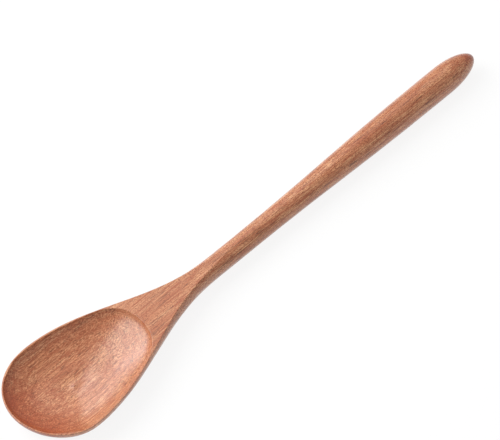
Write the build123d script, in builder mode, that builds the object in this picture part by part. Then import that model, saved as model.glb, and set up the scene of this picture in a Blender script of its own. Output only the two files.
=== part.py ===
from build123d import *
from math import cos, pi, radians, sin, sqrt
import os

# Wooden spoon, carved from one length of close-grained hardwood.
#
# It lies bowl up on a table, which is z = 0. The tip of the bowl points along -X, the butt of the handle
# along +X, and the middle of the length is over the origin. A place, below, is a distance from the tip
# along the spoon. The flat face is the plane that the rim of the bowl and the top of the neck share.

# Sizes of the bowl, in millimetres
overall_length = 457.0
bowl_width = 85.6
bowl_depth = 20.0
fullest_drop = 2.0
nose_length = 42.0
tip_lean = 4.3

# Sizes of the neck and the handle, whose grip is fullest a set way before its butt
neck_end = 185.0
face_end = 215.0
neck_diameter = 16.6
grip_diameter = 23.2
grip_setback = 47.0
butt_length = 31.7

# Sizes of the hollow
rim_land = 1.2
hollow_depth = 14.5
hollow_end = 119.5
shoulder_start = 84.0
deepest_place = 52.0
shoulder_squareness = 7
wall_steepness = 4 / 3

# The grip lies on the table, and so does the bowl: the axis of the handle is as high as the grip's radius
axis_height = grip_diameter / 2

# The tip lies half the length before the origin
tip_x = -overall_length / 2

# How far a cutting solid runs past what it cuts
overrun = 2.0

# Stations of the cross-sections: turns of the rounded tip in degrees, and shares of the way along the neck
tip_turns = (15, 30, 45, 60, 75)
neck_shares = (0, 0.08, 0.18, 0.29, 0.40, 0.51, 0.62, 0.73, 0.83, 0.91, 0.96, 1)

# Stations of the hollow's edge, round its tip, along its sides and round its blunt end
nose_turns = (22.5, 45, 67.5)
side_shares = (0, 0.33, 0.67, 1)
shoulder_turns = (70, 48, 28, 12)

# Stations of the hollow's level lines, in degrees of a quarter turn from the rim to the bottom
depth_turns = (0, 15, 30, 45, 60, 75)


def ease(place, begin, end):
    """Share of the way from begin to end, level at both."""
    way_share = min(max((place - begin) / (end - begin), 0), 1)
    return (1 - cos(pi * way_share)) / 2


def tip_share(place):
    """Share of its full section left at a place, as the tip of the bowl closes like half an ellipse."""
    return sqrt(1 - (max(nose_length - place, 0) / nose_length) ** 2)


def half_width(place):
    """Half the width of the bowl and the neck: it narrows to the round handle at the end of the neck."""
    narrow_share = ease(place, nose_length, neck_end)
    return (bowl_width * (1 - narrow_share) + neck_diameter * narrow_share) / 2 * tip_share(place)


def half_height(place):
    """Half the height of the oval section, whose upper part the flat face cuts away."""
    thin_share = ease(place, nose_length, face_end)
    full_height = (bowl_depth - fullest_drop) * (1 - thin_share) + neck_diameter / 2 * thin_share
    return full_height * tip_share(place)


def middle_drop(place):
    """How far the middle of the oval section lies below the flat face: it sinks to the axis of the handle."""
    return fullest_drop + (bowl_depth - axis_height - fullest_drop) * ease(place, nose_length, face_end)


def lean(place):
    """How far the tip of the bowl has moved to one side, as the edge that scrapes the pan wears."""
    return tip_lean * (1 - sin(pi / 2 * min(place / nose_length, 1)))


def face_half_width(place):
    """Half the width of the flat face, where it cuts the body's oval."""
    return half_width(place) * sqrt(1 - (middle_drop(place) / half_height(place)) ** 2)


def hollow_half_width(place):
    """Half the width of the hollow at the flat face: it follows the rim, and its end on the neck is blunt."""
    if place < nose_length:
        reach_share = (nose_length - place) / (nose_length - rim_land)
        return (face_half_width(nose_length) - rim_land) * sqrt(1 - reach_share**2)
    end_share = max(place - shoulder_start, 0) / (hollow_end - shoulder_start)
    return (face_half_width(place) - rim_land) * sqrt(1 - end_share**shoulder_squareness)


def section_plane(place):
    """Plane of a cross-section of the body, centred on its oval."""
    centre = (tip_x + place, lean(place), bowl_depth - middle_drop(place))
    return Plane(origin=centre, x_dir=(0, 1, 0), z_dir=(1, 0, 0))


def body_section(place):
    """Oval cross-section of the bowl or the neck, drawn in quarters."""
    radii = (half_width(place), half_height(place))
    with BuildSketch(section_plane(place)) as section:
        with BuildLine():
            for start in (0, 90, 180, 270):
                EllipticalCenterArc((0, 0), *radii, start_angle=start, arc_size=90)
        make_face()
    return section.sketch


def hollow_edge(side):
    """Points along one side of the hollow's edge: from its tip to its widest place, then to its blunt end."""
    nose_reach = nose_length - rim_land
    side_reach = shoulder_start - nose_length
    shoulder_reach = hollow_end - shoulder_start
    corner_power = 2 / shoulder_squareness
    tip_places = [nose_length - nose_reach * cos(radians(turn)) for turn in nose_turns] + [nose_length]
    end_places = [nose_length + side_reach * share for share in side_shares]
    corner_shares = [cos(radians(turn)) ** corner_power for turn in shoulder_turns]
    end_places += [shoulder_start + shoulder_reach * share for share in corner_shares]
    tip_side = [(place, lean(place) + side * hollow_half_width(place)) for place in tip_places]
    end_side = [(place, side * hollow_half_width(place)) for place in end_places]
    return [(rim_land, lean(rim_land)), *tip_side], [*end_side, (hollow_end, 0)]


def hollow_level(turn):
    """Level line of the hollow: its edge, shrunk towards the deepest place as it goes down."""
    depth = hollow_depth * sin(radians(turn)) ** wall_steepness
    size_share = cos(radians(turn))
    with BuildSketch(Plane((tip_x + deepest_place, 0, bowl_depth - depth))) as level:
        with BuildLine():
            for side in (1, -1):
                tip_side, end_side = [
                    [((x - deepest_place) * size_share, y * size_share) for x, y in points]
                    for points in hollow_edge(side)
                ]
                Spline(*tip_side, tangents=((0, side), (1, 0)))
                Spline(*end_side, tangents=((1, 0), (0, -side)))
        make_face()
    return level.sketch


# Places of the cross-sections: close together at the rounded tip, and further apart along the neck
section_places = [nose_length * (1 - cos(radians(turn))) for turn in tip_turns]
section_places += [nose_length + (face_end - nose_length) * share for share in neck_shares]
body_sections = [body_section(place) for place in section_places]
hollow_levels = [hollow_level(turn) for turn in depth_turns]

with BuildPart() as spoon:
    # The bowl and the neck are one loft, from the tip to where the neck has become round
    tip = Vertex(tip_x, tip_lean, bowl_depth - fullest_drop)
    loft([tip, *body_sections])

    # The flat face: a level cut over the bowl and the neck, which runs out as a point on the round handle
    with BuildSketch(Plane.XY.offset(bowl_depth)):
        with Locations((tip_x + face_end, 0)):
            Rectangle(face_end + overrun, bowl_width + 2 * overrun, align=(Align.MAX, Align.CENTER))
    extrude(amount=bowl_depth + overrun, mode=Mode.SUBTRACT)

    # The hollow: its walls start steep below the rim and flatten out towards the deepest place
    bottom = Vertex(tip_x + deepest_place, 0, bowl_depth - hollow_depth)
    loft([*hollow_levels, bottom], mode=Mode.SUBTRACT)

    # The handle is turned about its own axis: two arcs swell it to the grip, and its butt is half an ellipse
    neck_radius = neck_diameter / 2
    grip_radius = grip_diameter / 2
    grip_fullest = overall_length - grip_setback
    butt_start = overall_length - butt_length
    swell_middle = ((face_end + grip_fullest) / 2, (neck_radius + grip_radius) / 2)
    with BuildSketch(Plane((tip_x, 0, axis_height), x_dir=(1, 0, 0), z_dir=(0, -1, 0))):
        with BuildLine():
            Line((overall_length, 0), (face_end, 0))
            Line((face_end, 0), (face_end, neck_radius))
            TangentArc((face_end, neck_radius), swell_middle, tangent=(1, 0))
            TangentArc((grip_fullest, grip_radius), swell_middle, tangent=(-1, 0))
            Line((grip_fullest, grip_radius), (butt_start, grip_radius))
            EllipticalCenterArc((butt_start, 0), butt_length, grip_radius, start_angle=0, arc_size=90)
        make_face()
    revolve(axis=Axis((0, 0, axis_height), (1, 0, 0)))

spoon.part.label = "spoon"
os.makedirs("parts", exist_ok=True)
export_step(spoon.part, "parts/spoon.step")
print("spoon", round(spoon.part.volume), "mm3", spoon.part.bounding_box())
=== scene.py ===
"""A wooden cooking spoon of oiled close-grained hardwood, lying bowl up on a pale studio floor."""

import logging
import math
from dataclasses import dataclass
from enum import Enum
from typing import Any

import bmesh
import bpy
from mathutils import Matrix, Vector

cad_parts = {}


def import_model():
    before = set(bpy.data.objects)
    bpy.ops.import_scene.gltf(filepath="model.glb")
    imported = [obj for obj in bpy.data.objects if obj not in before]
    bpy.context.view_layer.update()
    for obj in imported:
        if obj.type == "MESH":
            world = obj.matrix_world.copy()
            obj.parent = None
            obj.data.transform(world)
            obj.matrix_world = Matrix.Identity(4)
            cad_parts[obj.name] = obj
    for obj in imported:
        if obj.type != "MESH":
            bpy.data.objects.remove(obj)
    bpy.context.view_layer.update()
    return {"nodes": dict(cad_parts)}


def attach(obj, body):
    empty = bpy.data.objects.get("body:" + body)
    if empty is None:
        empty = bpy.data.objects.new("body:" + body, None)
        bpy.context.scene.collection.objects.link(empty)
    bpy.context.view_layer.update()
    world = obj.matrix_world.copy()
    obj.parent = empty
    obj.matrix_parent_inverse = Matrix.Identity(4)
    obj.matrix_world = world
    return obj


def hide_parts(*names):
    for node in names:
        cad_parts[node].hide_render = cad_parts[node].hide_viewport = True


LOG = logging.getLogger("wooden_spoon")
MM = 0.001
NODE = "spoon"
BODY = "root"
WHITE = (1.0, 1.0, 1.0, 1.0)
NOISE_MIDDLE = 0.5


def linear(hex_code: str) -> tuple[float, float, float, float]:
    """Turn an sRGB colour into the linear colour that a shader socket takes.

    Args:
        hex_code: Six hex digits after a hash sign.

    Returns:
        Linear red, green and blue, and an alpha of 1.
    """
    channels = [int(hex_code[i : i + 2], 16) / 255 for i in (1, 3, 5)]
    curve = [c / 12.92 if c <= 0.04045 else ((c + 0.055) / 1.055) ** 2.4 for c in channels]
    return curve[0], curve[1], curve[2], 1.0


def add_node(
    tree: bpy.types.NodeTree,
    kind: str,
    settings: dict[str, Any] | None = None,
    inputs: dict[str | int, Any] | None = None,
) -> bpy.types.Node:
    """Add a node, set its properties, and fill or link its inputs.

    Args:
        tree: The node tree that takes the node.
        kind: The node's type name.
        settings: Property values by name.
        inputs: A constant, or the socket to link from, for each input's name or number.

    Returns:
        The new node.
    """
    node = tree.nodes.new(kind)
    for name, value in (settings or {}).items():
        setattr(node, name, value)
    for key, value in (inputs or {}).items():
        if isinstance(value, bpy.types.NodeSocket):
            tree.links.new(value, node.inputs[key])
        else:
            node.inputs[key].default_value = value
    return node


def select_only(piece: bpy.types.Object) -> None:
    """Deselect everything, then select one piece and make it active."""
    bpy.ops.object.select_all(action="DESELECT")
    piece.select_set(True)
    bpy.context.view_layer.objects.active = piece


@dataclass(frozen=True)
class LampSetting:
    """Where a lamp hangs and how bright it is.

    Attributes:
        towards: Direction from the spoon towards the lamp.
        distance: Distance from the spoon, in metres.
        width: Width of the lamp's round face, in metres.
        watts: Its power.
    """

    towards: tuple[float, float, float]
    distance: float
    width: float
    watts: float


class Lamp(Enum):
    """The studio's lamps, all broad and soft."""

    KEY = LampSetting((-0.42, 0.55, 0.72), distance=1.6, width=1.4, watts=18.5)
    SIDE = LampSetting((-0.10, 0.84, 0.54), distance=1.6, width=1.0, watts=7.0)
    FILL = LampSetting((0.29, 0.43, 0.85), distance=2.0, width=1.4, watts=3.0)


@dataclass(frozen=True)
class Tone:
    """A tone of the wood, which shows where a pattern is strong.

    Attributes:
        colour: Its sRGB colour.
        low: Value of the pattern at which it starts to show.
        high: Value of the pattern at which it shows in full.
        share: How much of the wood it covers there.
    """

    colour: str
    low: float
    high: float
    share: float


@dataclass
class WoodGrain:
    """The grain of one material, painted tone over tone.

    Attributes:
        tree: The material's node tree.
        place: The point on the piece, in millimetres.
        wood: The colour so far.
        octave_fade: How strong each finer octave of a noise is, against the one before it.
    """

    tree: bpy.types.NodeTree
    place: bpy.types.NodeSocket
    wood: Any
    octave_fade: float = 0.55

    def streaks(self, long_mm: float, wide_mm: float, detail: float) -> bpy.types.NodeSocket:
        """Noise that is stretched along the fibres, which run along X.

        Args:
            long_mm: Length of a streak along the fibres.
            wide_mm: Width of a streak across them.
            detail: Octaves of finer noise.

        Returns:
            The noise's value, around NOISE_MIDDLE.
        """
        stretch = (1 / long_mm, 1 / wide_mm, 1 / wide_mm)
        scaled = add_node(
            self.tree, "ShaderNodeVectorMath", {"operation": "MULTIPLY"}, {0: self.place, 1: stretch}
        )
        noise = add_node(
            self.tree,
            "ShaderNodeTexNoise",
            {"noise_dimensions": "3D"},
            {"Vector": scaled.outputs[0], "Scale": 1.0, "Detail": detail, "Roughness": self.octave_fade},
        )
        return noise.outputs[0]

    def cover(self, amount: bpy.types.NodeSocket, colour: str) -> None:
        """Cover the wood with a colour, by an amount from 0 to 1."""
        mixed = add_node(
            self.tree,
            "ShaderNodeMix",
            {"data_type": "RGBA"},
            {0: amount, 6: self.wood, 7: linear(colour)},
        )
        self.wood = mixed.outputs[2]

    def lay(self, pattern: bpy.types.NodeSocket, tone: Tone) -> bpy.types.NodeSocket:
        """Lay a tone over the wood where a pattern is strong.

        Args:
            pattern: The pattern that the tone follows.
            tone: The tone.

        Returns:
            How much of the tone lies there, from 0 to its share.
        """
        eased = add_node(
            self.tree,
            "ShaderNodeMapRange",
            {"interpolation_type": "SMOOTHSTEP"},
            {0: pattern, 1: tone.low, 2: tone.high, 3: 0.0, 4: tone.share},
        )
        self.cover(eased.outputs[0], tone.colour)
        return eased.outputs[0]


@dataclass(frozen=True)
class OiledHardwood:
    """Close-grained hardwood, sanded and oiled.

    It shows growth rings, fibres, short dark pores and a satin sheen. The growth layers lie nearly level, so
    the flat face of the neck shows long streaks, and the hollow shows them as nested ovals.

    Attributes:
        name: Name of the material.
        pale: Colour of the palest wood.
        tan_wood: Tone of the broad patches.
        brown_streaks: Tone of the narrower streaks.
        late_wood: Tone of the late wood in each growth ring.
        fibres: Tone of the darker fibres.
        pores: Tone of the short pores that are cut open.
        vessels: Tone of the long vessels that lie open. Its low and high break them into pieces.
        end_tint: Tint of the end grain.
        end_low: How squarely a surface cuts the fibres where the tint starts, from 0 to 1.
        end_high: How squarely it cuts them where the tint is full.
        run_out: Slope of the fibres up towards the butt, in degrees.
        ring_mm: Distance from ring to ring.
        ring_wander_mm: How far a ring strays.
        wander_mm: Length and width of the places where it strays.
        pith_mm: Where the tree's middle would lie.
        patch_mm: Length and width of the tan patches.
        streak_mm: Length and width of the brown streaks.
        fibre_mm: Length and width of the fibres.
        pore_mm: Length and width of the pores.
        vessel_mm: Length of the vessels, and the gap between them.
        vessel_piece_mm: Length of the pieces that a vessel is broken into.
        vessel_fineness: How far the noise strays from its middle across half a vessel's line.
        sheen: Roughness of the sanded wood between the fibres.
        open_sheen: Roughness of the open fibres.
        sheen_span: Values of the fibre pattern between which the roughness changes.
        refraction: Index of refraction of wood and oil.
        oil: Strength of the oil's own reflection.
        oil_roughness: Roughness of the oil.
        relief: Strength of the relief.
        relief_mm: Height of the fibres and depth of the pores.
    """

    name: str = "oiled_hardwood"
    pale: str = "#ECB081"
    tan_wood: Tone = Tone("#DF9566", low=0.34, high=0.66, share=1.0)
    brown_streaks: Tone = Tone("#B4603A", low=0.45, high=0.75, share=0.25)
    late_wood: Tone = Tone("#B4603A", low=0.35, high=0.95, share=0.42)
    fibres: Tone = Tone("#B4603A", low=0.42, high=0.58, share=0.9)
    pores: Tone = Tone("#8C441F", low=0.50, high=0.62, share=0.85)
    vessels: Tone = Tone("#6E3417", low=0.48, high=0.60, share=0.8)
    end_tint: str = "#E6B69E"
    end_low: float = 0.42
    end_high: float = 0.85
    run_out: float = 24.0
    ring_mm: float = 2.8
    ring_wander_mm: float = 1.8
    wander_mm: tuple[float, float] = (120.0, 30.0)
    pith_mm: tuple[float, float, float] = (0.0, 16.0, -88.0)
    patch_mm: tuple[float, float] = (180.0, 12.8)
    streak_mm: tuple[float, float] = (90.0, 3.2)
    fibre_mm: tuple[float, float] = (22.0, 0.5)
    pore_mm: tuple[float, float] = (1.5, 0.4)
    vessel_mm: tuple[float, float] = (60.0, 2.1)
    vessel_piece_mm: float = 14.0
    vessel_fineness: float = 0.035
    sheen: float = 0.34
    open_sheen: float = 0.48
    sheen_span: tuple[float, float] = (0.3, 0.75)
    refraction: float = 1.5
    oil: float = 0.8
    oil_roughness: float = 0.26
    relief: float = 0.2
    relief_mm: float = 0.12

    def rings(self, grain: WoodGrain) -> bpy.types.NodeSocket:
        """Growth rings about the pith, which wander a little.

        Args:
            grain: The grain that they belong to.

        Returns:
            How late in its year the wood grew, which comes and goes evenly across each ring, from 0 to 1.
        """
        tree = grain.tree
        from_pith = add_node(
            tree, "ShaderNodeVectorMath", {"operation": "SUBTRACT"}, {0: grain.place, 1: self.pith_mm}
        )
        across = add_node(
            tree,
            "ShaderNodeVectorMath",
            {"operation": "MULTIPLY"},
            {0: from_pith.outputs[0], 1: (0.0, 1.0, 1.0)},
        )
        radius = add_node(tree, "ShaderNodeVectorMath", {"operation": "LENGTH"}, {0: across.outputs[0]})
        wander = grain.streaks(*self.wander_mm, detail=2.0)
        shifted = add_node(
            tree,
            "ShaderNodeMath",
            {"operation": "MULTIPLY_ADD"},
            {0: wander, 1: 2 * self.ring_wander_mm, 2: radius.outputs["Value"]},
        )
        count = add_node(
            tree, "ShaderNodeMath", {"operation": "DIVIDE"}, {0: shifted.outputs[0], 1: self.ring_mm / 2}
        )
        phase = add_node(tree, "ShaderNodeMath", {"operation": "PINGPONG"}, {0: count.outputs[0], 1: 1.0})
        return phase.outputs[0]

    def open_vessels(self, grain: WoodGrain) -> bpy.types.NodeSocket:
        """Fine lines where long vessels lie open: thin level lines of a noise, broken into pieces.

        Args:
            grain: The grain that they belong to.

        Returns:
            How much of an open vessel there is, from 0 to the share of its tone.
        """
        tree = grain.tree
        swell = grain.streaks(*self.vessel_mm, detail=1.0)
        centred = add_node(tree, "ShaderNodeMath", {"operation": "SUBTRACT"}, {0: swell, 1: NOISE_MIDDLE})
        apart = add_node(tree, "ShaderNodeMath", {"operation": "ABSOLUTE"}, {0: centred.outputs[0]})
        line = add_node(
            tree,
            "ShaderNodeMapRange",
            {"interpolation_type": "SMOOTHSTEP"},
            {0: apart.outputs[0], 1: 0.0, 2: self.vessel_fineness, 3: self.vessels.share, 4: 0.0},
        )
        shown = add_node(
            tree,
            "ShaderNodeMapRange",
            {"interpolation_type": "SMOOTHSTEP"},
            {
                0: grain.streaks(self.vessel_piece_mm, self.vessel_mm[1], detail=0.0),
                1: self.vessels.low,
                2: self.vessels.high,
            },
        )
        lines = add_node(
            tree, "ShaderNodeMath", {"operation": "MULTIPLY"}, {0: line.outputs[0], 1: shown.outputs[0]}
        )
        return lines.outputs[0]

    def tint_ends(self, grain: WoodGrain, normal: bpy.types.NodeSocket) -> bpy.types.NodeSocket:
        """Tint the end grain: it takes up more oil, so the tip and the butt are redder and darker.

        Args:
            grain: The grain that is painted so far.
            normal: The surface's normal, in the piece's own axes.

        Returns:
            The wood's colour with its ends tinted.
        """
        tree = grain.tree
        slope = math.radians(self.run_out)
        fibre_line = (math.cos(slope), 0.0, math.sin(slope))
        facing = add_node(
            tree, "ShaderNodeVectorMath", {"operation": "DOT_PRODUCT"}, {0: normal, 1: fibre_line}
        )
        endwise = add_node(tree, "ShaderNodeMath", {"operation": "ABSOLUTE"}, {0: facing.outputs["Value"]})
        end_share = add_node(
            tree,
            "ShaderNodeMapRange",
            {"interpolation_type": "SMOOTHSTEP"},
            {0: endwise.outputs[0], 1: self.end_low, 2: self.end_high},
        )
        tinted = add_node(
            tree,
            "ShaderNodeMix",
            {"data_type": "RGBA", "blend_type": "MULTIPLY"},
            {0: end_share.outputs[0], 6: grain.wood, 7: linear(self.end_tint)},
        )
        return tinted.outputs[2]

    def build(self) -> bpy.types.Material:
        """Make the material.

        Returns:
            The material, ready for a piece.
        """
        material = bpy.data.materials.new(self.name)
        material.use_nodes = True
        tree = material.node_tree
        shader = tree.nodes["Principled BSDF"]
        where = add_node(tree, "ShaderNodeTexCoord")
        place = add_node(
            tree,
            "ShaderNodeVectorMath",
            {"operation": "SCALE"},
            {0: where.outputs["Object"], "Scale": 1 / MM},
        )
        grain = WoodGrain(tree=tree, place=place.outputs[0], wood=linear(self.pale))

        # Broad patches of paler and tanner wood, brown streaks in them, then the late wood of each ring
        grain.lay(grain.streaks(*self.patch_mm, detail=2.0), self.tan_wood)
        grain.lay(grain.streaks(*self.streak_mm, detail=3.0), self.brown_streaks)
        grain.lay(self.rings(grain), self.late_wood)

        # Pores are a tenth or two of a millimetre wide, and the bundles of fibres between them little more.
        # Both are drawn about half a millimetre wide, so that they show.
        fibre = grain.streaks(*self.fibre_mm, detail=2.0)
        grain.lay(fibre, self.fibres)
        pores = grain.lay(grain.streaks(*self.pore_mm, detail=1.0), self.pores)

        # Here and there a longer vessel is laid open as a fine dark line
        grain.cover(self.open_vessels(grain), self.vessels.colour)
        colour = self.tint_ends(grain, where.outputs["Normal"])
        tree.links.new(colour, shader.inputs["Base Color"])

        # Open fibres shine less than the sanded wood between them, and the pores are dents
        rough = add_node(
            tree,
            "ShaderNodeMapRange",
            {"interpolation_type": "SMOOTHSTEP"},
            {0: fibre, 1: self.sheen_span[0], 2: self.sheen_span[1], 3: self.sheen, 4: self.open_sheen},
        )
        tree.links.new(rough.outputs[0], shader.inputs["Roughness"])
        height = add_node(
            tree,
            "ShaderNodeMath",
            {"operation": "MULTIPLY_ADD"},
            {0: pores, 1: -1 / self.pores.share, 2: fibre},
        )
        bump = add_node(
            tree,
            "ShaderNodeBump",
            None,
            {"Strength": self.relief, "Distance": self.relief_mm * MM, "Height": height.outputs[0]},
        )
        tree.links.new(bump.outputs[0], shader.inputs["Normal"])

        # Oil that has sunk in leaves a thin satin coat
        shader.inputs["IOR"].default_value = self.refraction
        shader.inputs["Coat Weight"].default_value = self.oil
        shader.inputs["Coat Roughness"].default_value = self.oil_roughness
        return material


@dataclass
class CarvedSpoon:
    """The spoon's one piece: the carved form, with the edges of its flat face eased by sandpaper.

    Attributes:
        finish: The wood that it is made of.
        name: Name of the piece.
        merge_mm: How close two points of the carved form lie when they are one.
        face_height_mm: Height of the flat face that the rim and the neck share.
        face_margin_mm: How far from that height a point still counts as on the face.
        edge_angle: Least angle between two faces that counts as an edge, in degrees.
        easing_mm: How far the easing of an edge reaches to each side of it.
        easing_steps: Number of faces across an eased edge.
    """

    finish: OiledHardwood
    name: str = "carved_spoon"
    merge_mm: float = 0.001
    face_height_mm: float = 20.0
    face_margin_mm: float = 0.01
    edge_angle: float = 8.0
    easing_mm: float = 0.3
    easing_steps: int = 2

    def pick_edges(self, piece: bpy.types.Object) -> None:
        """Select the edges where the flat face meets the hollow and the sides.

        Args:
            piece: The spoon, in edit mode.
        """
        bpy.ops.mesh.select_mode(type="EDGE")
        bpy.ops.mesh.select_all(action="DESELECT")
        mesh = bmesh.from_edit_mesh(piece.data)
        face_height, margin = self.face_height_mm * MM, self.face_margin_mm * MM
        for edge in mesh.edges:
            level = all(abs(end.co.z - face_height) < margin for end in edge.verts)
            edge.select_set(level and edge.calc_face_angle(0.0) > math.radians(self.edge_angle))
        bmesh.update_edit_mesh(piece.data)

    def carve(self, source: bpy.types.Object) -> bpy.types.Object:
        """Copy the carved form, close it and ease its edges.

        Args:
            source: The node that holds the carved form.

        Returns:
            The new piece.
        """
        piece = source.copy()
        piece.data = source.data.copy()
        piece.name = self.name
        piece.data.materials.clear()
        bpy.context.collection.objects.link(piece)
        select_only(piece)
        bpy.ops.object.mode_set(mode="EDIT")
        bpy.ops.mesh.select_all(action="SELECT")
        bpy.ops.mesh.remove_doubles(threshold=self.merge_mm * MM)
        bpy.ops.mesh.normals_make_consistent(inside=False)
        self.pick_edges(piece)
        bpy.ops.mesh.bevel(offset=self.easing_mm * MM, segments=self.easing_steps, clamp_overlap=True)

        # The eased strip stays crisp against the flat face, and everything else is smooth
        bpy.ops.mesh.region_to_loop()
        bpy.ops.mesh.mark_sharp()
        bpy.ops.object.mode_set(mode="OBJECT")
        bpy.ops.object.shade_smooth()
        return piece

    def build(self, source: bpy.types.Object) -> bpy.types.Object:
        """Make the piece, give it its wood and put it in the place of its node.

        Args:
            source: The node that holds the carved form.

        Returns:
            The finished piece.
        """
        piece = self.carve(source)
        piece.data.materials.append(self.finish.build())
        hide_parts(NODE)
        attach(piece, BODY)
        return piece


@dataclass
class Studio:
    """A pale floor under soft light.

    Attributes:
        floor_width: Width of the floor, in metres.
        paper: How much of the light the white paper of the floor gives back to the object.
        seen_paper: How much light it gives back to the eye, so that the object's shadow shows on it.
        seen_lift: What is added to that, to bring the paper to white.
        surround: How bright the white surroundings are for the object.
    """

    floor_width: float = 12.0
    paper: float = 0.80
    seen_paper: float = 0.14
    seen_lift: float = 0.87
    surround: float = 0.44

    def floor(self) -> None:
        """Lay the floor: it lights the object as white paper does, and shows as white with a faint shadow."""
        bpy.ops.object.select_all(action="DESELECT")
        bpy.ops.mesh.primitive_plane_add(size=self.floor_width, location=(0.0, 0.0, 0.0))
        floor = bpy.context.active_object
        floor.name = "floor"
        material = bpy.data.materials.new("white_paper")
        material.use_nodes = True
        tree = material.node_tree
        tree.nodes.clear()
        paper, seen_paper = (
            add_node(tree, "ShaderNodeBsdfDiffuse", None, {"Color": (grey, grey, grey, 1.0)})
            for grey in (self.paper, self.seen_paper)
        )
        lift = add_node(tree, "ShaderNodeEmission", None, {"Color": WHITE, "Strength": self.seen_lift})
        seen = add_node(tree, "ShaderNodeAddShader", None, {0: seen_paper.outputs[0], 1: lift.outputs[0]})
        path = add_node(tree, "ShaderNodeLightPath")
        shown = add_node(
            tree,
            "ShaderNodeMath",
            {"operation": "MAXIMUM"},
            {0: path.outputs["Is Camera Ray"], 1: path.outputs["Is Glossy Ray"]},
        )
        surface = add_node(
            tree,
            "ShaderNodeMixShader",
            None,
            {0: shown.outputs[0], 1: paper.outputs[0], 2: seen.outputs[0]},
        )
        add_node(tree, "ShaderNodeOutputMaterial", None, {"Surface": surface.outputs[0]})
        floor.data.materials.append(material)

    def world(self) -> None:
        """Surround the scene with soft white light, which the camera sees as plain white."""
        world = bpy.data.worlds.new("white_surround")
        bpy.context.scene.world = world
        world.use_nodes = True
        tree = world.node_tree
        tree.nodes.clear()
        path = add_node(tree, "ShaderNodeLightPath")
        strength = add_node(
            tree,
            "ShaderNodeMapRange",
            None,
            {0: path.outputs["Is Camera Ray"], 3: self.surround, 4: 1.0},
        )
        background = add_node(
            tree, "ShaderNodeBackground", None, {"Color": WHITE, "Strength": strength.outputs[0]}
        )
        add_node(tree, "ShaderNodeOutputWorld", None, {"Surface": background.outputs[0]})

    def lamps(self) -> None:
        """Hang the lamps, each aimed at the middle of the spoon."""
        for lamp in Lamp:
            setting = lamp.value
            name = lamp.name.lower()
            light = bpy.data.lights.new(name, "AREA")
            light.shape = "DISK"
            light.size = setting.width
            light.energy = setting.watts
            holder = bpy.data.objects.new(name, light)
            direction = Vector(setting.towards).normalized()
            holder.location = direction * setting.distance
            holder.rotation_mode = "QUATERNION"
            holder.rotation_quaternion = direction.to_track_quat("Z", "Y")
            bpy.context.collection.objects.link(holder)

    def build(self) -> None:
        """Set up the floor, the surroundings and the lamps."""
        self.floor()
        self.world()
        self.lamps()


@dataclass
class SpoonCamera:
    """The photograph's view: from above, over the tip of the bowl, with the picture turned a little.

    Attributes:
        name: Name of the camera.
        aim_mm: Point of the spoon in the middle of the picture.
        distance_mm: Distance from that point to the lens.
        azimuth: Direction of the view about the vertical, in degrees.
        elevation: Height of the view above the horizon, in degrees.
        roll: Turn of the picture, in degrees.
        lens_mm: Focal length.
        sensor_mm: Width of the sensor.
        near: Nearest distance that shows, in metres.
        far: Furthest distance that shows, in metres.
    """

    name: str = "photo_view"
    aim_mm: tuple[float, float, float] = (5.3, 7.2, 20.0)
    distance_mm: float = 2270.6
    azimuth: float = -33.60
    elevation: float = 58.55
    roll: float = -9.61
    lens_mm: float = 218.6
    sensor_mm: float = 36.0
    near: float = 0.05
    far: float = 50.0

    def build(self) -> bpy.types.Object:
        """Set up the camera and make it the scene's.

        Returns:
            The camera.
        """
        lens = bpy.data.cameras.new(self.name)
        lens.sensor_width = self.sensor_mm
        lens.lens = self.lens_mm
        lens.clip_start = self.near
        lens.clip_end = self.far
        camera = bpy.data.objects.new(self.name, lens)
        turn, height = math.radians(self.azimuth), math.radians(self.elevation)
        back = Vector(
            (math.sin(turn) * math.cos(height), -math.cos(turn) * math.cos(height), math.sin(height))
        )
        right = Vector((math.cos(turn), math.sin(turn), 0.0))
        axes = Matrix((right, back.cross(right), back)).transposed()
        roll = Matrix.Rotation(math.radians(self.roll), 3, "Z")
        camera.rotation_mode = "QUATERNION"
        camera.rotation_quaternion = (axes @ roll).to_quaternion()
        camera.location = Vector(self.aim_mm) * MM + back * self.distance_mm * MM
        bpy.context.collection.objects.link(camera)
        bpy.context.scene.camera = camera
        return camera


def main() -> None:
    """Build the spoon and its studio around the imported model."""
    logging.basicConfig(level=logging.INFO, format="%(name)s: %(message)s")
    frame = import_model()
    bpy.context.scene.view_settings.view_transform = "Standard"
    spoon = CarvedSpoon(finish=OiledHardwood()).build(frame["nodes"][NODE])
    LOG.info("%s: %d faces", spoon.name, len(spoon.data.polygons))
    Studio().build()
    LOG.info("studio: floor, surroundings and %d lamps", len(Lamp))
    camera = SpoonCamera().build()
    LOG.info("camera: %s", camera.name)


if __name__ == "__main__":
    main()
